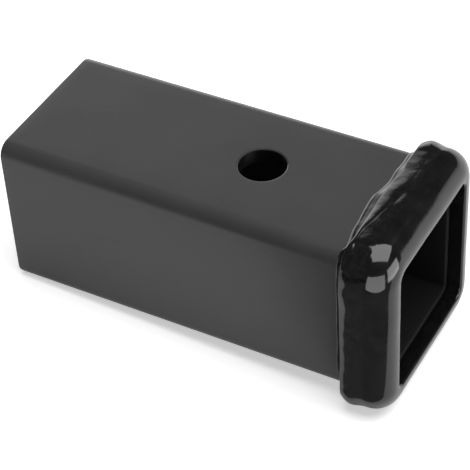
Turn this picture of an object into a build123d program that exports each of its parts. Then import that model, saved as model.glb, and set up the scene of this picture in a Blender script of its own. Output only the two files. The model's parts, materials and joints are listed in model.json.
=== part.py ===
from build123d import *
import os
from math import pi, sin

# Weld-on receiver tube: a square steel tube, a forged collar pushed over its mouth, and the
# weld bead that joins the two. X runs along the tube and X = 0 is the collar's front face.
# The open mouth looks towards +X, and the pin hole runs along Z. Sizes are in millimetres.

# Square tube, sawn to length and open at both ends
tube_width = 63.5
tube_wall = 6.0
tube_length = 152.4
tube_corner_radius = 5.5
bore_corner_radius = 1.6
saw_edge_break = 0.4

# Pin hole, drilled through the top and bottom walls
pin_hole_diameter = 17.4
pin_hole_set_back = 66.7
pin_hole_edge_break = 0.5

# Collar: a square ring with a lip that closes over the tube's end. The lip stands back
# from the bore, so that a bar can't catch on it, and its front face is one full round
collar_wall = 6.35
collar_depth = 16.0
collar_corner_radius = 13.5
collar_bevel = 3.0
lip_thickness = 6.0
lip_set_back = 1.55
lip_corner_radius = 3.8
lip_edge_round = 1.4
front_flat = 0.2
seat_clearance = 0.1

# Weld bead: laid by hand into the collar's bevel, a toe pass and then a cap pass
cap_pass_width = 7.6
cap_pass_crown = 0.3
cap_pass_fall = 1.6
bead_lap = 6.4
bead_reach = 5.0
bead_root = 0.6
bead_stations = 8
ripple_length = 42.0

# How far the bead's toe strays along the tube, on each side
top_toe_wander = 3.4
far_toe_wander = 1.6
bottom_toe_wander = 1.6
near_toe_wander = 0.6

tube_half = tube_width / 2
bore_width = tube_width - 2 * tube_wall
straight_half = tube_half - tube_corner_radius
collar_width = tube_width + 2 * collar_wall
lip_opening = bore_width + 2 * lip_set_back
front_round = (collar_width - lip_opening) / 2 - lip_edge_round - front_flat
cap_pass_front = collar_depth - bead_lap
cap_pass_rear = cap_pass_front + cap_pass_width


# Outline of the collar's seat, which the tube's end slides into
def seat_outline():
    width = tube_width + 2 * seat_clearance
    return RectangleRounded(width, width, tube_corner_radius + seat_clearance)


# Receiver tube
with BuildPart() as receiver_tube:
    with BuildSketch(Plane.YZ.offset(-lip_thickness)):
        RectangleRounded(tube_width, tube_width, tube_corner_radius)
        RectangleRounded(bore_width, bore_width, bore_corner_radius, mode=Mode.SUBTRACT)
    extrude(amount=-tube_length)
    sawn_ends = receiver_tube.faces().filter_by(Axis.X).sort_by(Axis.X)
    chamfer(sawn_ends[0].edges() + sawn_ends[-1].edges(), saw_edge_break)
    with Locations((-pin_hole_set_back, 0, tube_half)):
        Hole(pin_hole_diameter / 2)
    rims = receiver_tube.edges().filter_by(GeomType.CIRCLE)
    rims = rims.filter_by(lambda edge: abs(edge.radius - pin_hole_diameter / 2) < 1e-4)
    outer_rims = [rims.sort_by(Axis.Z)[0], rims.sort_by(Axis.Z)[-1]]
    chamfer(outer_rims, pin_hole_edge_break)

# Collar
with BuildPart() as collar:
    with BuildSketch(Plane.YZ):
        RectangleRounded(collar_width, collar_width, collar_corner_radius)
    extrude(amount=-collar_depth)
    front_face = collar.faces().filter_by(Axis.X).sort_by(Axis.X)[-1]
    fillet(front_face.edges(), front_round)
    rear_face = collar.faces().filter_by(Axis.X).sort_by(Axis.X)[0]
    chamfer(rear_face.edges(), collar_bevel)
    with BuildSketch(Plane.YZ):
        RectangleRounded(lip_opening, lip_opening, lip_corner_radius)
    extrude(amount=-collar_depth, mode=Mode.SUBTRACT)
    front_face = collar.faces().filter_by(Axis.X).sort_by(Axis.X)[-1]
    fillet(front_face.inner_wires()[0].edges(), lip_edge_round)
    with BuildSketch(Plane.YZ.offset(-lip_thickness)):
        seat_outline()
    extrude(amount=lip_thickness - collar_depth, mode=Mode.SUBTRACT)


# Unevenness of the hand-laid bead along one side, from 0 to 1: none where two sides meet
def ripple(along, phase):
    fade = 1 - (along / straight_half) ** 4
    wave = sin(2 * pi * along / ripple_length + phase)
    return fade * (1 + wave) / 2


# Section of the cap pass: x runs back from the collar's front face, y out from the tube
def cap_pass_section():
    front = (cap_pass_front, collar_wall - cap_pass_crown)
    crest = (cap_pass_front + cap_pass_width / 2, collar_wall + cap_pass_crown)
    rear = (cap_pass_rear, collar_wall - cap_pass_fall)
    with BuildLine() as outline:
        crown = ThreePointArc(front, crest, rear)
        Polyline(crown @ 1, (cap_pass_rear, -bead_root), (cap_pass_front, -bead_root), crown @ 0)
    return outline.edges()


# Section of the toe pass, which slopes from the cap pass down to the tube
def toe_pass_section(wander):
    top = (cap_pass_rear, collar_wall - cap_pass_fall)
    toe = collar_depth + bead_reach + wander
    with BuildLine() as outline:
        Polyline(top, (toe, 0), (toe, -bead_root), (cap_pass_rear, -bead_root), close=True)
    return outline.edges()


# Plane of a section of the bead on one side of the tube
def section_plane(outward, tangent, along):
    return Plane(outward * tube_half + tangent * along, x_dir=(-1, 0, 0), z_dir=tangent)


# Weld bead: both passes run along each side and turn round the tube's corner to the next
with BuildPart() as collar_weld:
    toe_wanders = (top_toe_wander, far_toe_wander, bottom_toe_wander, near_toe_wander)
    for turn, toe_wander in enumerate(toe_wanders):
        outward = Vector(0, 0, 1).rotate(Axis.X, -90 * turn)
        tangent = Vector(0, 1, 0).rotate(Axis.X, -90 * turn)
        with BuildSketch(section_plane(outward, tangent, -straight_half)):
            make_face(cap_pass_section())
        extrude(amount=2 * straight_half)
        for station in range(bead_stations):
            along = straight_half * (2 * station / (bead_stations - 1) - 1)
            with BuildSketch(section_plane(outward, tangent, along)):
                make_face(toe_pass_section(toe_wander * ripple(along, 1 + turn)))
        loft()
        with BuildSketch(section_plane(outward, tangent, straight_half)):
            make_face(cap_pass_section())
            make_face(toe_pass_section(0))
        corner = (outward + tangent) * straight_half
        revolve(axis=Axis(corner, (-1, 0, 0)), revolution_arc=90)
    add(receiver_tube.part, mode=Mode.SUBTRACT)
    add(collar.part, mode=Mode.SUBTRACT)
    with BuildSketch(Plane.YZ.offset(-lip_thickness)):
        seat_outline()
    extrude(amount=lip_thickness - collar_depth, mode=Mode.SUBTRACT)

receiver_tube.part.label = "receiver_tube"
collar.part.label = "collar"
collar_weld.part.label = "collar_weld"

os.makedirs("parts", exist_ok=True)
export_step(receiver_tube.part, "parts/receiver_tube.step")
export_step(collar.part, "parts/collar.step")
export_step(collar_weld.part, "parts/collar_weld.step")
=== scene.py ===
import bmesh
import bpy
import json
import numpy as np
from math import atan2, cos, degrees, pi, radians, sin, sqrt, tan
from mathutils import Matrix, Vector, noise


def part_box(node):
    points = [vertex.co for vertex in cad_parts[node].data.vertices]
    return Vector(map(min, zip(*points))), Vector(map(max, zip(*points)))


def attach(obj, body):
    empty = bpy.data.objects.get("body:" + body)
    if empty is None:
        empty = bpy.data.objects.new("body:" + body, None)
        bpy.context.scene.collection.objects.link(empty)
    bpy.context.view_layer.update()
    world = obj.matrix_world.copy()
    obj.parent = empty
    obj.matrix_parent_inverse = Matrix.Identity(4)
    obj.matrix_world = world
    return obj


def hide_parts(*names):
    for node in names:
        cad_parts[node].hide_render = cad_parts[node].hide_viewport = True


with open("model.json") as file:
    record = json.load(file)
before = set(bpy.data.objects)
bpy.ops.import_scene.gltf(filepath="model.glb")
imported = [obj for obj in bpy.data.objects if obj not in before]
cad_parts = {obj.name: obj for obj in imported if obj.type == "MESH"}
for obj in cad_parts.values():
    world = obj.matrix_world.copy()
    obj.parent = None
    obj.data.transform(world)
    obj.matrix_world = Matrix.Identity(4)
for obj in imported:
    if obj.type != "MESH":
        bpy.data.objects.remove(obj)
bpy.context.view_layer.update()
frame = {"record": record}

# Camera: a long lens above the mouth's near corner, rolled a little, as the product was shot.
# Its angles, distance and lens come from a fit to the outlines of the tube, the pin hole, the
# mouth and the collar, with the part's main sizes held.
view_azimuth = radians(30.74)
view_elevation = radians(41.59)
view_roll = radians(-3.61)
view_distance = 0.67596
aim = Vector((-0.075, 0, 0))
framing = (0.00393, 0.00356)
lens_mm = 140.74
sensor_mm = 36.0

towards_camera = Vector((
    sin(view_azimuth) * cos(view_elevation),
    -cos(view_azimuth) * cos(view_elevation),
    sin(view_elevation),
))
level_right = Vector((0, 0, 1)).cross(towards_camera).normalized()
level_up = towards_camera.cross(level_right)
camera_right = level_right * cos(view_roll) + level_up * sin(view_roll)
camera_up = level_up * cos(view_roll) - level_right * sin(view_roll)
camera_place = (
    aim + towards_camera * view_distance - camera_right * framing[0] - camera_up * framing[1]
)

camera = bpy.data.objects.new("camera", bpy.data.cameras.new("camera"))
camera.data.lens = lens_mm
camera.data.sensor_width = sensor_mm
camera.data.clip_start = 0.01
turn = Matrix((camera_right, camera_up, towards_camera)).transposed()
camera.matrix_world = Matrix.Translation(camera_place) @ turn.to_4x4()
bpy.context.scene.collection.objects.link(camera)
bpy.context.scene.camera = camera
bpy.context.scene.view_settings.view_transform = "Standard"


# Receiver tube: one length of square steel tube, sawn at both ends, with the pin hole drilled
# through its top and bottom walls, and a satin black powder coat that rounds every cut edge.
# Its mesh is loops round the tube, with a square patch wherever the hole meets a wall's face.
tube_low, tube_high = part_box("receiver_tube")
tube_half = tube_high.z
tail_end = tube_low.x
mouth_end = tube_high.x
pin_hole = next(m for m in frame["record"]["mounts"] if m["name"] == "pin_hole")
hole_x = pin_hole["pos_m"][0]
hole_radius = pin_hole["dims"]["r_mm"] / 1000
tube_corner = 0.0055
tube_wall = 0.006
bore_half = tube_half - tube_wall
bore_corner = 0.0016
cut_edge_round = 0.0006
hole_edge_round = 0.0008
patch_half = 0.014
patch_steps = 24
lines_beside_patch = 2
corner_steps = 14
loops_behind_patch = 24
loops_ahead_of_patch = 18


def rounded_square_point(half, corner, side, along, turned=None):
    """A point of a rounded square in (y, z): along one side, or turned past that side's end."""
    centre = half - corner
    if turned is None:
        y, z = along * centre, half
    else:
        y, z = centre + corner * sin(turned), centre + corner * cos(turned)
    for _ in range(side):
        y, z = z, -y
    return y, z


def wall_shares(centre):
    """Where the mesh lines of a flat wall lie, as shares of its half width, with the patch's own."""
    patch = patch_half / centre
    beside = [1 - (1 - patch) * i / lines_beside_patch for i in range(lines_beside_patch)]
    across = [patch * (2 * i / patch_steps - 1) for i in range(patch_steps + 1)]
    return [-share for share in beside] + across + beside[::-1]


def around(half, corner):
    """A closed outline of a rounded square in (y, z), with as many points for any size."""
    points = []
    for side in range(4):
        for share in wall_shares(half - corner):
            points.append(rounded_square_point(half, corner, side, share))
        for step in range(1, corner_steps):
            turned = pi / 2 * step / corner_steps
            points.append(rounded_square_point(half, corner, side, 0, turned))
    return points


def round_steps(radius, count=5):
    """(along, in) steps of a quarter round, from the flat beside it to the end of the cut."""
    return [
        (radius * (1 - sin(pi / 2 * i / count)), radius * (1 - cos(pi / 2 * i / count)))
        for i in range(count + 1)
    ]


def mesh_piece(name, points, faces):
    """A smooth-shaded mesh object that stands in the scene."""
    mesh = bpy.data.meshes.new(name)
    mesh.from_pydata([tuple(p) for p in points], [], faces)
    mesh.validate()
    mesh.polygons.foreach_set("use_smooth", [True] * len(mesh.polygons))
    piece = bpy.data.objects.new(name, mesh)
    bpy.context.scene.collection.objects.link(piece)
    return piece


def bridge(faces, ring, new):
    """Quads between two closed rings of as many points."""
    for k in range(len(ring)):
        follower = (k + 1) % len(ring)
        faces.append((ring[k], ring[follower], new[follower], new[k]))


def clean_normals(piece):
    """Turns every face of a closed piece outwards."""
    shell = bmesh.new()
    shell.from_mesh(piece.data)
    bmesh.ops.recalc_face_normals(shell, faces=shell.faces)
    shell.to_mesh(piece.data)
    shell.free()


def tube_stations():
    """Where loops of mesh lie along the tube's flat walls: close through the patches."""
    patch = [hole_x + patch_half * (2 * i / patch_steps - 1) for i in range(patch_steps + 1)]
    behind = np.linspace(tail_end + cut_edge_round, patch[0], loops_behind_patch)[1:-1]
    ahead = np.linspace(patch[-1], mouth_end - cut_edge_round, loops_ahead_of_patch)[1:-1]
    return [*behind, *patch, *ahead]


def tube_loops():
    """The tube's loops of (x, outline), forwards outside and back through the bore, and how
    many of them lie outside."""
    edge = round_steps(cut_edge_round)
    stations = tube_stations()
    outside = [(tail_end + away, -sunk) for away, sunk in reversed(edge)]
    outside += [(x, 0) for x in stations]
    outside += [(mouth_end - away, -sunk) for away, sunk in edge]
    inside = [(mouth_end - away, sunk) for away, sunk in reversed(edge)]
    inside += [(x, 0) for x in reversed(stations)]
    inside += [(tail_end + away, sunk) for away, sunk in edge]
    loops = [(x, around(tube_half + grown, tube_corner + grown)) for x, grown in outside]
    loops += [(x, around(bore_half + grown, bore_corner + grown)) for x, grown in inside]
    return loops, len(outside)


def tube_walls(loops, outside_count):
    """Quads between the loops, and the cells left out of them where the hole comes through sides
    0 and 2, the top and the bottom wall."""
    count = len(loops[0][1])
    patch_places = range(lines_beside_patch, lines_beside_patch + patch_steps)
    faces, left_out = [], {}
    for i, (x, _) in enumerate(loops):
        follower = (i + 1) % len(loops)
        in_patch = abs((x + loops[follower][0]) / 2 - hole_x) < patch_half
        for j in range(count):
            side, place = divmod(j, count // 4)
            if in_patch and side in (0, 2) and place in patch_places:
                left_out.setdefault((side, i < outside_count), []).append((i, j))
                continue
            a, b = i * count + j, i * count + (j + 1) % count
            c, d = follower * count + (j + 1) % count, follower * count + j
            faces.append((a, b, c, d))
    return faces, left_out


def square_border(cells, count):
    """The points round the square of cells that a patch takes the place of."""
    rows = [i for i, _ in cells]
    columns = [j for _, j in cells]
    low_i, high_i = min(rows), max(rows) + 1
    low_j, high_j = min(columns), max(columns) + 1
    border = [(low_i, j) for j in range(low_j, high_j)]
    border += [(i, high_j) for i in range(low_i, high_i)]
    border += [(high_i, j) for j in range(high_j, low_j, -1)]
    border += [(i, low_j) for i in range(high_i, low_i, -1)]
    return [i * count + j % count for i, j in border]


def fill_patch(points, faces, ring, side, outside):
    """Fills a patch from its square border to the hole, and gives back the ring that the hole's
    own wall starts from."""
    outward = 1 if side == 0 else -1
    level = (tube_half if outside else bore_half) * outward
    inward = -outward if outside else outward
    edge = hole_edge_round if outside else cut_edge_round
    rim_radius = hole_radius + edge
    border = [(points[k][0], points[k][1]) for k in ring]
    angles = [atan2(y, x - hole_x) for x, y in border]
    rings = []
    for share in (0.45, 0.8, 0.95):
        between = []
        for (x, y), angle in zip(border, angles):
            to_x, to_y = hole_x + rim_radius * cos(angle), rim_radius * sin(angle)
            between.append((x + (to_x - x) * share, y + (to_y - y) * share, level))
        rings.append(between)
    for away, sunk in round_steps(edge, 6):
        radius = hole_radius + away
        z = level + inward * sunk
        rings.append([(hole_x + radius * cos(a), radius * sin(a), z) for a in angles])
    for new_points in rings:
        new = range(len(points), len(points) + len(new_points))
        points += new_points
        bridge(faces, ring, new)
        ring = new
    return ring


def make_receiver_tube():
    loops, outside_count = tube_loops()
    points = [(x, y, z) for x, outline in loops for y, z in outline]
    faces, left_out = tube_walls(loops, outside_count)
    rims = {}
    for (side, outside), cells in left_out.items():
        ring = square_border(cells, len(loops[0][1]))
        rims[side, outside] = fill_patch(points, faces, ring, side, outside)

    # The hole's own wall joins each outer rim to the inner one, point for point by their angle
    for side in (0, 2):
        by_angle = {
            round(atan2(points[k][1], points[k][0] - hole_x), 4): k for k in rims[side, False]
        }
        outer = rims[side, True]
        inner = [by_angle[round(atan2(points[k][1], points[k][0] - hole_x), 4)] for k in outer]
        bridge(faces, outer, inner)
    return mesh_piece("receiver_tube_coated", points, faces)


receiver_tube = make_receiver_tube()
clean_normals(receiver_tube)


class Finish:
    """A node material, built up one named node at a time."""

    def __init__(self, name):
        self.material = bpy.data.materials.new(name)
        self.material.use_nodes = True
        self.nodes = self.material.node_tree.nodes
        self.links = self.material.node_tree.links
        self.shader = self.nodes["Principled BSDF"]
        self.place = self.add("ShaderNodeTexCoord").outputs["Object"]

    def add(self, kind, **settings):
        node = self.nodes.new(kind)
        for name, value in settings.items():
            setattr(node, name, value)
        return node

    def along_axes(self):
        """x, y and z of a spot on the piece, in metres."""
        spot = self.add("ShaderNodeSeparateXYZ")
        self.links.new(self.place, spot.inputs["Vector"])
        return [spot.outputs[axis] for axis in "XYZ"]

    def noise(self, scale, detail, roughness, place=None):
        node = self.add("ShaderNodeTexNoise")
        node.inputs["Scale"].default_value = scale
        node.inputs["Detail"].default_value = detail
        node.inputs["Roughness"].default_value = roughness
        self.links.new(place or self.place, node.inputs["Vector"])
        return node.outputs["Fac"]

    def specks(self, scale, share, softness):
        """1 in small round specks that sit in a few of the cells, 0 elsewhere."""
        cells = self.add("ShaderNodeTexVoronoi")
        cells.inputs["Scale"].default_value = scale
        self.links.new(self.place, cells.inputs["Vector"])
        near = self.ramp(cells.outputs["Distance"], softness, 0.0, 1.0, 0.0)
        chosen = self.add("ShaderNodeSeparateColor")
        self.links.new(cells.outputs["Color"], chosen.inputs["Color"])
        few = self.ramp(chosen.outputs["Red"], 1 - share, 1 - share + 0.001, 0.0, 1.0)
        return self.math("MULTIPLY", near, few)

    def ramp(self, value, low, high, to_low, to_high):
        """to_low where the value is low or less, to_high where it is high or more."""
        node = self.add("ShaderNodeMapRange")
        self.links.new(value, node.inputs["Value"])
        node.inputs["From Min"].default_value = low
        node.inputs["From Max"].default_value = high
        node.inputs["To Min"].default_value = to_low
        node.inputs["To Max"].default_value = to_high
        return node.outputs["Result"]

    def math(self, operation, first, second):
        node = self.add("ShaderNodeMath", operation=operation)
        for socket, value in zip(node.inputs, (first, second)):
            if isinstance(value, (int, float)):
                socket.default_value = value
            else:
                self.links.new(value, socket)
        return node.outputs["Value"]

    def colour(self, share, first, second):
        """A mix of two colours, each given or mixed before, which becomes the base colour."""
        node = self.add("ShaderNodeMix", data_type="RGBA")
        self.links.new(share, node.inputs["Factor"])
        for name, value in (("A", first), ("B", second)):
            if isinstance(value, tuple):
                node.inputs[name].default_value = (*value, 1)
            else:
                self.links.new(value, node.inputs[name])
        self.links.new(node.outputs["Result"], self.shader.inputs["Base Color"])
        return node.outputs["Result"]

    def bump(self, height, depth):
        node = self.add("ShaderNodeBump")
        node.inputs["Strength"].default_value = 1
        node.inputs["Distance"].default_value = depth
        self.links.new(height, node.inputs["Height"])
        self.links.new(node.outputs["Normal"], self.shader.inputs["Normal"])


def tube_coat():
    """Satin black powder coat: fine orange peel, a faint mottle and a few specks of dust. The saw's
    marks show through it on the tail end. In the bore and the pin hole it is rougher and less
    glossy, and its colour there is near black as painted shade."""
    coat = Finish("tube_coat")
    x, y, z = coat.along_axes()
    from_axis = coat.math("MAXIMUM", coat.math("ABSOLUTE", y, 0), coat.math("ABSOLUTE", z, 0))

    # Close to the mouth the bore's painted shade and its rougher skin reach over the sawn edge
    # behind the collar's lip
    sawn_edge = coat.ramp(x, mouth_end - 0.002, mouth_end - 0.001, 0, 0.0015)
    off_bore = coat.math("SUBTRACT", from_axis, sawn_edge)
    in_bore = coat.ramp(off_bore, bore_half + 0.0001, bore_half + 0.0004, 1, 0)
    along = coat.math("POWER", coat.math("ABSOLUTE", coat.math("SUBTRACT", x, hole_x), 0), 2)
    from_pin = coat.math("SQRT", coat.math("ADD", along, coat.math("MULTIPLY", y, y)), 0)
    in_hole = coat.ramp(from_pin, hole_radius + 0.0001, hole_radius + 0.0003, 1, 0)
    on_rim = coat.ramp(from_pin, hole_radius + 0.0007, hole_radius + 0.0010, 1, 0)
    hidden = coat.math("MAXIMUM", in_bore, in_hole)

    mottle = coat.noise(55, 4.0, 0.6)
    satin = coat.colour(mottle, (0.034, 0.034, 0.0345), (0.043, 0.043, 0.044))
    # The bore and the pin hole are coloured near black: painted shade in these recesses
    bore_shaded_satin = coat.colour(in_bore, satin, (0.008, 0.008, 0.008))
    coat.colour(in_hole, bore_shaded_satin, (0.006, 0.006, 0.006))
    mottled = coat.ramp(mottle, 0.3, 0.7, 0.36, 0.42)
    smooth_rim = coat.math("SUBTRACT", mottled, coat.math("MULTIPLY", on_rim, 0.28))
    rough = coat.math("ADD", smooth_rim, coat.math("MULTIPLY", hidden, 0.2))
    coat.links.new(rough, coat.shader.inputs["Roughness"])
    coat.links.new(coat.ramp(hidden, 0, 1, 0.5, 0.1), coat.shader.inputs["Specular IOR Level"])

    peel = coat.noise(1400, 2.0, 0.5)
    dust = coat.specks(60, 0.05, 0.035)
    skin = coat.math("ADD", coat.math("MULTIPLY", peel, 0.10), dust)
    across_saw = coat.add("ShaderNodeVectorMath", operation="MULTIPLY")
    coat.links.new(coat.place, across_saw.inputs[0])
    across_saw.inputs[1].default_value = (0, 25, 900)
    saw_marks = coat.noise(1, 3.0, 0.6, across_saw.outputs["Vector"])
    on_saw_cut = coat.ramp(x, tail_end + 0.0001, tail_end + 0.0003, 1.6, 0)
    coat.bump(coat.math("ADD", skin, coat.math("MULTIPLY", saw_marks, on_saw_cut)), 0.00012)
    return coat.material


receiver_tube.data.materials.append(tube_coat())
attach(receiver_tube, "root")
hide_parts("receiver_tube")


# Collar: a forged square ring in gloss black coat, pushed over the tube's mouth and welded on.
# Its front is one full round that runs into a lip over the tube's sawn edge. Its section runs
# round a rounded square whose corner radius tightens towards the opening.
collar_low, collar_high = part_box("collar")
collar_half = collar_high.z
collar_depth = collar_high.x - collar_low.x
collar_corner = 0.0135
collar_bevel = 0.003
front_round = 0.0092
lip_set_back = 0.00155
lip_half = bore_half + lip_set_back
lip_corner = 0.0038
lip_round = 0.0009
lip_thickness = collar_high.x - mouth_end
seat_clearance = 0.0001
seat_half = tube_half + seat_clearance
under_bead = 0.0008
bare_from = 0.0097
bead_end_step = 0.0003
side_steps = 64
collar_corner_steps = 40
front_steps = 28
lip_steps = 12


def collar_outline():
    """(x, half width) of the collar's section, from its rear edge over the front to its seat. Under
    the bead it stays a little below the forged surface, so that the bead alone shows there."""
    rear = -collar_depth
    flat_front = collar_half - front_round
    covered = collar_half - under_bead
    outline = [(rear, covered - collar_bevel), (rear + collar_bevel, covered)]
    outline += [(-bare_from - bead_end_step, covered), (-bare_from, collar_half)]
    for step in range(front_steps + 1):
        t = pi / 2 * step / front_steps
        outline.append((front_round * (sin(t) - 1), flat_front + front_round * cos(t)))
    for step in range(lip_steps + 1):
        t = pi / 2 * step / lip_steps
        outline.append((lip_round * (cos(t) - 1), lip_half + lip_round * (1 - sin(t))))
    outline += [(-lip_thickness * share, lip_half) for share in (0.4, 0.7)]
    outline += [(-lip_thickness, lip_half), (-lip_thickness, seat_half), (rear, seat_half)]
    return outline


def ring_place(half, corner, index):
    """A point of a ring round the collar: along one side, then round the corner after it."""
    side, step = divmod(index, side_steps + collar_corner_steps)
    if step <= side_steps:
        return rounded_square_point(half, corner, side, 2 * step / side_steps - 1)
    turned = pi / 2 * (step - side_steps) / collar_corner_steps
    return rounded_square_point(half, corner, side, 0, turned)


def corner_centre(half):
    """How far from the axis a ring's corners are centred: nearest round the lip, and a little
    further out round the collar's outside."""
    outer = collar_half - collar_corner
    inner = lip_half - lip_corner
    share = (half - lip_half) / (collar_half - front_round - lip_half)
    return inner + (outer - inner) * min(max(share, 0), 1)


def make_collar():
    outline = collar_outline()
    count = 4 * (side_steps + collar_corner_steps)
    points, faces = [], []
    for x, half in outline:
        for k in range(count):
            y, z = ring_place(half, half - corner_centre(half), k)
            points.append(Vector((x, y, z)))
    rings = [list(range(i * count, (i + 1) * count)) for i in range(len(outline))]
    for ring, new in zip(rings, rings[1:] + rings[:1]):
        bridge(faces, ring, new)
    piece = mesh_piece("collar_coated", points, faces)
    bead_end = {k for k in range(len(points)) if abs(points[k].x + bare_from) < 1e-7}
    for edge in piece.data.edges:
        edge.use_edge_sharp = bead_end.issuperset(edge.vertices)
    return piece


dent_depth = 0.00007
dent_size = 0.012


def dent(spot):
    """How far the forged surface lies below the true one at a spot."""
    return dent_depth * (1 + noise.noise(spot / dent_size + Vector((3, 6, 9))))


collar = make_collar()
clean_normals(collar)
moves = [vertex.co - vertex.normal * dent(vertex.co) for vertex in collar.data.vertices]
for vertex, place in zip(collar.data.vertices, moves):
    vertex.co = place


def gloss_coat(name, light, mottle_scale, peel_depth):
    """Gloss black powder coat: deep black with a clear skin, faint orange peel and dust nibs."""
    coat = Finish(name)
    mottle = coat.noise(mottle_scale, 4.0, 0.6)
    coat.colour(coat.ramp(mottle, 0.35, 0.65, 0, 1), (0.002, 0.002, 0.002), (light, light, light))
    coat.links.new(coat.ramp(mottle, 0.3, 0.7, 0.07, 0.12), coat.shader.inputs["Roughness"])
    coat.shader.inputs["Specular IOR Level"].default_value = 0.43
    peel = coat.noise(480, 2.0, 0.5)
    nibs = coat.specks(120, 0.03, 0.10)
    coat.bump(coat.math("ADD", coat.math("MULTIPLY", peel, peel_depth), nibs), 0.0001)
    return coat.material


collar.data.materials.append(gloss_coat("collar_coat", 0.0045, 160, 0.10))
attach(collar, "root")
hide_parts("collar")


# Weld bead: laid by hand round the collar's rear edge in two passes, then coated with the rest.
# The toe pass lies on the tube and ends in a thin ridge; the cap pass stands on it in a steep
# step, laps over itself on the top side, and runs out flush on the collar's flat.
weld_low, weld_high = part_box("collar_weld")
bead_front = weld_high.x
turn_centre = tube_half - tube_corner
weld_side_steps = 150
weld_corner_steps = 36
weld_section_steps = 100
wave_size = 0.0045
wave_depth = 0.0001
wrinkle_length = 0.003
wrinkle_width = 0.0012
wrinkle_depth = 0.00002
front_fade = 0.003
toe_fade = 0.0008

# The bead's measures on each side, in millimetres. Each is one number, or knots of (place along
# the side, measure). toe, step and lap are the x of the toe pass's foot, of the cap pass's rear
# edge and of the edge where it laps over itself. step_height and lap_height say how far the last
# two stand off the tube, and lap_depth sizes the crease at the lap and the layer's edge over it.
# strip_slope is the toe pass's slope from its ridge up to the step, toe_size scales that ridge,
# and roundness says how steeply the bead's back starts to rise towards the collar
bead_sides = {
    "top": {
        "toe": [
            (-26, -21.2), (-22, -22.0), (-18.4, -22.8), (-12.9, -23.2), (-8.1, -23.8), (-2.2, -24.3),
            (1.9, -24.3), (5.8, -23.3), (9.5, -22.6), (12, -22.5), (17, -22.9), (22.4, -22.4),
            (26, -22.6),
        ],
        "step": [
            (-26, -18.9), (-23, -19.0), (-19.3, -19.1), (-15.9, -19.2), (-9.1, -19.2), (-3.7, -19.6),
            (0, -19.5), (5.2, -19.3), (7.2, -19.3), (11, -18.5), (14.4, -18.6), (18.3, -19.3),
            (23.2, -19.1), (26, -19.1),
        ],
        "lap": [
            (-26, -17.8), (-20.2, -17.6), (-18.2, -17.0), (-14.4, -15.9), (-11, -15.5), (-9, -14.9),
            (-6, -14.5), (-3, -14.0), (1.5, -13.4), (26, -12.6),
        ],
        "step_height": [
            (-26, 4.7), (-20, 4.8), (-12, 4.85), (0, 4.7), (9, 4.75), (20, 4.6), (26, 4.65),
        ],
        "lap_height": [
            (-26, 5.1), (-20, 5.2), (-16, 5.6), (-12, 5.8), (-3, 5.8), (3, 6.1), (8, 6.35),
        ],
        "lap_depth": [
            (-26, 0.15), (-20, 0.25), (-13, 0.18), (-9, 0.15), (-4, 0.10), (1, 0.03), (3, 0),
        ],
        "strip_slope": [(-26, 0.20), (-12, 0.33), (-2, 0.27), (6, 0.37), (26, 0.40)],
        "toe_size": [(-26, 1.2), (26, 1.3)],
        "roundness": [
            (-26, 1.9), (-17, 1.9), (-12, 1.6), (-3, 1.9), (3, 2.0), (9, 1.7), (18, 1.4), (26, 1.3),
        ],
    },
    "far": {
        "toe": [(-26, -21.5), (-14, -22.4), (-3, -21.6), (9, -22.3), (18, -21.4), (26, -21.3)],
        "step": [(-26, -18.9), (-10, -19.2), (4, -18.6), (17, -19.2), (26, -19.1)],
        "lap": -12.2,
        "step_height": 4.5,
        "lap_height": 6.25,
        "lap_depth": 0,
        "strip_slope": 0.37,
        "toe_size": 1.2,
        "roundness": 3.0,
    },
    "bottom": {
        "toe": [(-26, -21.3), (-12, -22.2), (2, -21.5), (14, -22.3), (26, -21.1)],
        "step": [(-26, -19.1), (-5, -19.3), (11, -18.8), (26, -19.7)],
        "lap": [(-26, -12.2), (26, -15.8)],
        "step_height": [(-26, 4.5), (26, 5.5)],
        "lap_height": [(-26, 6.25), (26, 6.35)],
        "lap_depth": 0,
        "strip_slope": 0.37,
        "toe_size": 1.2,
        "roundness": 3.0,
    },
    "near": {
        "toe": [
            (-26, -22.4), (-18, -22.8), (-9, -22.4), (-2, -22.7), (7, -22.5), (18, -22.7),
            (26, -22.4),
        ],
        "step": [(-26, -19.3), (-11.5, -19.0), (3, -19.2), (17, -19.4), (26, -19.3)],
        "lap": [(-26, -15.8), (17, -15.8), (26, -17.0)],
        "step_height": [
            (-26, 5.1), (-12, 5.3), (2, 5.3), (8, 5.1), (14, 5.1), (20, 5.5), (26, 5.1),
        ],
        "lap_height": [(-26, 6.3), (17, 6.35), (26, 5.9)],
        "lap_depth": 0,
        "strip_slope": [(-26, -0.05), (-18, -0.10), (18, -0.10), (26, 0)],
        "toe_size": 0.5,
        "roundness": 3.4,
    },
}
side_order = ("top", "far", "bottom", "near")

# Measures halfway round the corner that follows each side; the others run on from side to side
bead_corners = (
    {
        "toe": -22.8, "step": -19.2, "lap": -16.0, "step_height": 5.2, "lap_height": 6.60,
        "strip_slope": 1.3,
    },
    {
        "toe": -22.4, "step": -19.3, "lap": -15.5, "step_height": 5.3, "lap_height": 6.00,
        "strip_slope": 0.7,
    },
    {
        "toe": -21.6, "step": -19.6, "lap": -15.5, "step_height": 5.1, "lap_height": 6.75,
        "strip_slope": 0.5,
    },
    {
        "toe": -22.2, "step": -19.4, "lap": -16.0, "step_height": 4.4, "lap_height": 4.85,
        "strip_slope": 0.1, "roundness": 1.1,
    },
)


def measure_at(measure, along):
    """A measure at one place along a side."""
    if isinstance(measure, list):
        return np.interp(along * 1000, *zip(*measure))
    return measure


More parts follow.
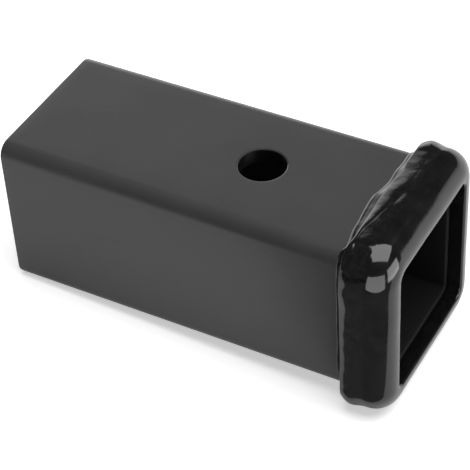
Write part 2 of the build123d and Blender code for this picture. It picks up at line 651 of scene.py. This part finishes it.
def bead_measures(side, along, turned):
    """The bead's measures at one place: on a side, or between two sides at a corner."""
    here = bead_sides[side_order[side]]
    at = {name: measure_at(measure, along) for name, measure in here.items()}
    if turned is None:
        return at
    onward = bead_sides[side_order[(side + 1) % 4]]
    for name, measure in onward.items():
        at[name] += (measure_at(measure, -turn_centre) - at[name]) * sin(turned) ** 2
    for name, measure in bead_corners[side].items():
        at[name] += (measure - at[name]) * sin(2 * turned)
    return at


def collar_height(turned):
    """How far the collar's outside stands off the tube's, beside a wall or round its corner."""
    if turned is None:
        return collar_half - tube_half
    gap = turn_centre - (collar_half - collar_corner)
    off = turned - pi / 4
    reach = sqrt(collar_corner**2 - 2 * gap**2 * sin(off) ** 2) - sqrt(2) * gap * cos(off)
    return reach - tube_corner


def eased(share):
    return share * share * (3 - 2 * share)


def eased_rise(start, end, power, count=8):
    """Points after start that rise to end, steeply at first, or fall to it gently at first."""
    rising = end[1] > start[1]
    points = []
    for share in (k / count for k in range(1, count + 1)):
        done = 1 - (1 - share) ** power if rising else eased(share)
        x = start[0] + (end[0] - start[0]) * share
        points.append((x, start[1] + (end[1] - start[1]) * done))
    return points


def bead_outline(side, along, turned):
    """(x, height) points of the bead's section from its toe on the tube to its front edge."""
    at = bead_measures(side, along, turned)
    toe, step, lap, size = at["toe"], at["step"], at["lap"], at["toe_size"]
    ledge, rise, depth = at["lap_height"], at["step_height"], at["lap_depth"]
    front = bead_front * 1000
    flush = collar_height(turned) * 1000
    strip_end = 0.56 * size + at["strip_slope"] * max(step - 0.5 - toe - 0.95, 0)

    # The toe's ridge, the strip from it to the step, and the steep step up to the cap pass
    knots = [
        (toe - 0.05, -0.12),
        (toe + 0.06 * size, 0.12 * size),
        (toe + 0.70 * size, 0.52 * size),
        (toe + 0.95 * size, 0.56 * size),
        (step - 0.5, strip_end),
        (step - 0.15, rise - 0.7),
        (step + 0.15, rise - 0.12),
        (step + 0.30, rise),
    ]

    # The lap, with its crease where there is one, and the bead's back, up or down to the collar
    if depth > 0.01:
        knots += eased_rise(knots[-1], (lap - 0.2, ledge), 1.7)
        knots += [
            (lap + 0.1, ledge - depth * 0.3),
            (lap + 0.5, ledge + depth * 0.6),
            (lap + 1.1, ledge + depth * 1.1),
        ]
    elif ledge > flush + 0.1:
        knots += eased_rise(knots[-1], (lap, ledge), 1.6)
    knots += eased_rise(knots[-1], (front, flush - 0.01), at["roundness"], 12)
    return np.array(knots) * 0.001


def smooth_run(points, count, passes):
    """Points at even steps along a run of knots, with its corners eased."""
    lengths = np.concatenate([[0], np.cumsum(np.hypot(*np.diff(points, axis=0).T))])
    at = np.linspace(0, lengths[-1], count)
    run = np.stack([np.interp(at, lengths, points[:, i]) for i in range(2)], axis=1)
    for _ in range(passes):
        run[1:-1] = (run[:-2] + 2 * run[1:-1] + run[2:]) / 4
    return run


def make_weld():
    runs, places = [], []
    for side in range(4):
        for step in range(weld_side_steps + weld_corner_steps):
            if step <= weld_side_steps:
                along, turned = turn_centre * (2 * step / weld_side_steps - 1), None
            else:
                along, turned = turn_centre, pi / 2 * (step - weld_side_steps) / weld_corner_steps
            runs.append(smooth_run(bead_outline(side, along, turned), weld_section_steps + 1, 2))
            places.append((side, along, turned))
    runs = np.array(runs)
    for _ in range(8):
        runs = (np.roll(runs, 1, axis=0) + 2 * runs + np.roll(runs, -1, axis=0)) / 4

    points, faces = [], []
    for run, (side, along, turned) in zip(runs, places):
        for x, height in run:
            half, corner = tube_half + height, tube_corner + height
            y, z = rounded_square_point(half, corner, side, along / turn_centre, turned)
            spot = Vector((x, y, z))
            sunk = (bead_roughness(spot) + dent(spot)) * min(1, max(height, 0) / toe_fade)
            points.append(spot - Vector((0, y, z)).normalized() * sunk)
    row = weld_section_steps + 1
    for k in range(len(runs)):
        follower = (k + 1) % len(runs)
        for u in range(weld_section_steps):
            a, b = k * row + u, k * row + u + 1
            c, d = follower * row + u + 1, follower * row + u
            faces.append((a, d, c, b))
    return mesh_piece("weld_bead", points, faces)


def bead_roughness(spot):
    """How far a spot of the bead's skin lies below a smooth one: waves of the hand and wrinkles,
    which fade out towards the bead's front edge."""
    wave = noise.noise(spot / wave_size + Vector((7, 1, 4)))
    wrinkle_spot = (spot.x / wrinkle_length, spot.y / wrinkle_width, spot.z / wrinkle_width)
    wrinkle = noise.noise(Vector(wrinkle_spot))
    fade = max(min(1, (bead_front - spot.x) / front_fade), 0)
    return (wave_depth * (1 + wave) + wrinkle_depth * (1 + wrinkle)) * fade


weld = make_weld()
weld.data.materials.append(gloss_coat("weld_coat", 0.006, 650, 0.4))
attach(weld, "root")
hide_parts("collar_weld")


# Floor: a plain pale sheet, leaning as the part would lie on bead and tail. It is about 0.5 mm
# clear of the bead, and the tail's lower edge sinks 0.2 mm into it. It sweeps up as a backdrop
# on the far side, and close to the near side a black card lies on it that only the gloss shows:
# a painted reflection, dark towards the tail and glowing faintly towards the collar.
sweep_start = 0.9
sweep_end = 1.8
floor_reach = 4.0
back_height = 1.05

# How high the sheet sweeps up, as (direction in degrees from the mouth by the far side, height)
sweep_tops = [
    (37.5, 0), (47.5, 0.62), (85, 0.62), (105, 0.55), (117.5, 0.55), (127.5, back_height),
    (150, back_height), (157.5, 0),
]
floor_steps = 144
sweep_steps = 12
lean_from = weld_low.x * 0.9
lean = atan2(weld_high.z - tube_half, lean_from - tail_end)
rest_point = Vector(((weld_low.x + weld_high.x) / 2, 0, -weld_high.z))


def sweep_top(angle):
    """How high the sheet sweeps up in that direction: most of all between far side and tail."""
    return np.interp(degrees(angle), *zip(*sweep_tops))


def make_floor():
    """A round sheet that is flat under the part and again beyond the top of its sweep."""
    points, faces = [Vector((0, 0, 0))], []
    rings = [(sweep_start * share, 0.0) for share in (0.1, 0.3, 0.6, 1.0)]
    curve = [pi / 2 * step / sweep_steps for step in range(1, sweep_steps + 1)]
    rings += [(sweep_start + (sweep_end - sweep_start) * sin(t), 1 - cos(t)) for t in curve]
    rings.append((floor_reach, 1.0))
    for radius, rise in rings:
        for k in range(floor_steps):
            angle = 2 * pi * k / floor_steps
            height = rise * sweep_top(angle)
            points.append(Vector((radius * cos(angle), radius * sin(angle), height)))
    faces += [(0, 1 + k, 1 + (k + 1) % floor_steps) for k in range(floor_steps)]
    for i in range(len(rings) - 1):
        ring = [1 + i * floor_steps + k for k in range(floor_steps)]
        bridge(faces, ring, [k + floor_steps for k in ring])
    return mesh_piece("floor", points, faces)


def paper(name, shade, eye_glow, gloss_glow, sweep_glow):
    """Plain paper or card with a glow of its own. What the eye sees of it grows outwards to white.
    The gloss sees gloss_glow from about the tube's middle forwards, and sweep_glow growing
    outwards, strongest beyond the tail, which fades towards the sweep's top and ends past it."""
    finish = Finish(name)
    finish.shader.inputs["Base Color"].default_value = (shade, shade, shade, 1)
    finish.shader.inputs["Roughness"].default_value = 0.9
    finish.shader.inputs["Specular IOR Level"].default_value = 0.1
    finish.shader.inputs["Emission Color"].default_value = (1, 1, 1, 1)
    x, y, z = finish.along_axes()
    squares = finish.math("ADD", finish.math("MULTIPLY", x, x), finish.math("MULTIPLY", y, y))
    out = finish.math("SQRT", squares, 0)
    far_out = finish.ramp(out, 0.06, 1.50, 0, sweep_glow)
    flat_end = finish.ramp(out, sweep_end + 0.1, sweep_end + 0.5, 1, 0)
    behind = finish.ramp(x, -0.3, -0.9, 1, 2.25)
    fading = finish.ramp(z, 0.15, back_height, 1, 0.05)
    swept = finish.math("MULTIPLY", finish.math("MULTIPLY", far_out, behind), fading)
    glowing = finish.math("MULTIPLY", swept, flat_end)
    eye = finish.ramp(out, 0.4, sweep_end, eye_glow, 1)
    beside = finish.ramp(x, -0.16, -0.06, 0, gloss_glow)
    gloss = finish.math("ADD", glowing, beside)
    seen = finish.add("ShaderNodeLightPath")
    through, gloss_ray = seen.outputs["Is Transmission Ray"], seen.outputs["Is Glossy Ray"]
    mirrored = finish.math("MAXIMUM", gloss_ray, through)
    glow = finish.math(
        "ADD",
        finish.math("MULTIPLY", seen.outputs["Is Camera Ray"], eye),
        finish.math("MULTIPLY", mirrored, gloss),
    )
    finish.links.new(glow, finish.shader.inputs["Emission Strength"])
    return finish.material


floor = make_floor()
clean_normals(floor)
floor.matrix_world = Matrix.Translation(rest_point) @ Matrix.Rotation(lean, 4, "Y")
floor.data.materials.append(paper("floor_paper", 0.8, 0.52, 0.18, 1.15))

# The black card is a painted reflection: only glossy rays see it. It puts painted shade into the
# near side's reflections, with a faint glow of its own from about the tube's middle forwards
card_lift = 0.001
card_corners = [
    (-0.029, -0.0445), (-0.055, -0.070), (-0.105, -0.125), (-0.330, -0.360), (-2.200, -2.400),
    (1.900, -2.400), (0.800, -0.300), (0.420, -0.036), (0.004, -0.0405),
]
card_points = [(x - rest_point.x, y, card_lift) for x, y in card_corners]
black_card = mesh_piece("black_card", card_points, [tuple(range(len(card_points)))])
black_card.matrix_world = floor.matrix_world
black_card.data.materials.append(paper("black_card", 0.01, 0, 0.19, 0))
for kind in ("camera", "diffuse", "transmission", "volume_scatter", "shadow"):
    setattr(black_card, "visible_" + kind, False)

# Light: a faint white world, and soft boxes that each light only some pieces: one overhead, one
# in front of the mouth and one low beside the near side. The gloss coat shows them as the bright
# patches on the collar's near corner. A like overhead box lights the tube and the floor unseen.
world = bpy.data.worlds.new("world")
bpy.context.scene.world = world
world.use_nodes = True
world.node_tree.nodes["Background"].inputs["Color"].default_value = (1, 1, 1, 1)
world.node_tree.nodes["Background"].inputs["Strength"].default_value = 0.11
near_corner = Vector((-0.006, -0.030, 0.030))


def soft_box(name, azimuth, elevations, distance, width, glow, only, shows=True):
    """A lamp placed as seen from the collar's near corner, between two elevations in degrees, that
    lights only some pieces. shows says whether the gloss mirrors it."""
    low, high = (radians(e) for e in elevations)
    centre = (low + high) / 2
    height = 2 * distance * tan((high - low) / 2)
    turned = radians(azimuth)
    towards = Vector((cos(turned) * cos(centre), sin(turned) * cos(centre), sin(centre)))
    data = bpy.data.lights.new(name, "AREA")
    data.shape = "RECTANGLE"
    data.size = width
    data.size_y = height
    data.energy = glow * pi * width * height
    lamp = bpy.data.objects.new(name, data)
    lamp.location = near_corner + towards * distance
    lamp.rotation_euler = towards.to_track_quat("Z", "Y").to_euler()
    lamp.visible_camera = False
    lamp.visible_glossy = shows
    bpy.context.scene.collection.objects.link(lamp)
    lit = bpy.data.collections.new(name + "_lights")
    for piece in only:
        lit.objects.link(piece)
    lamp.light_linking.receiver_collection = lit


soft_box("overhead_box", 27, (46, 113), 1.0, 1.08, 4.9, [collar, weld])
soft_box("diffuse_overhead_box", 27, (46, 107), 1.0, 1.0, 4.9, [receiver_tube, floor], shows=False)
soft_box("front_box", 4.5, (-15, 22), 0.22, 0.18, 5.2, [collar, weld, receiver_tube])
soft_box("low_box", -65, (-31, 17), 0.125, 0.18, 3.6, [collar, weld])
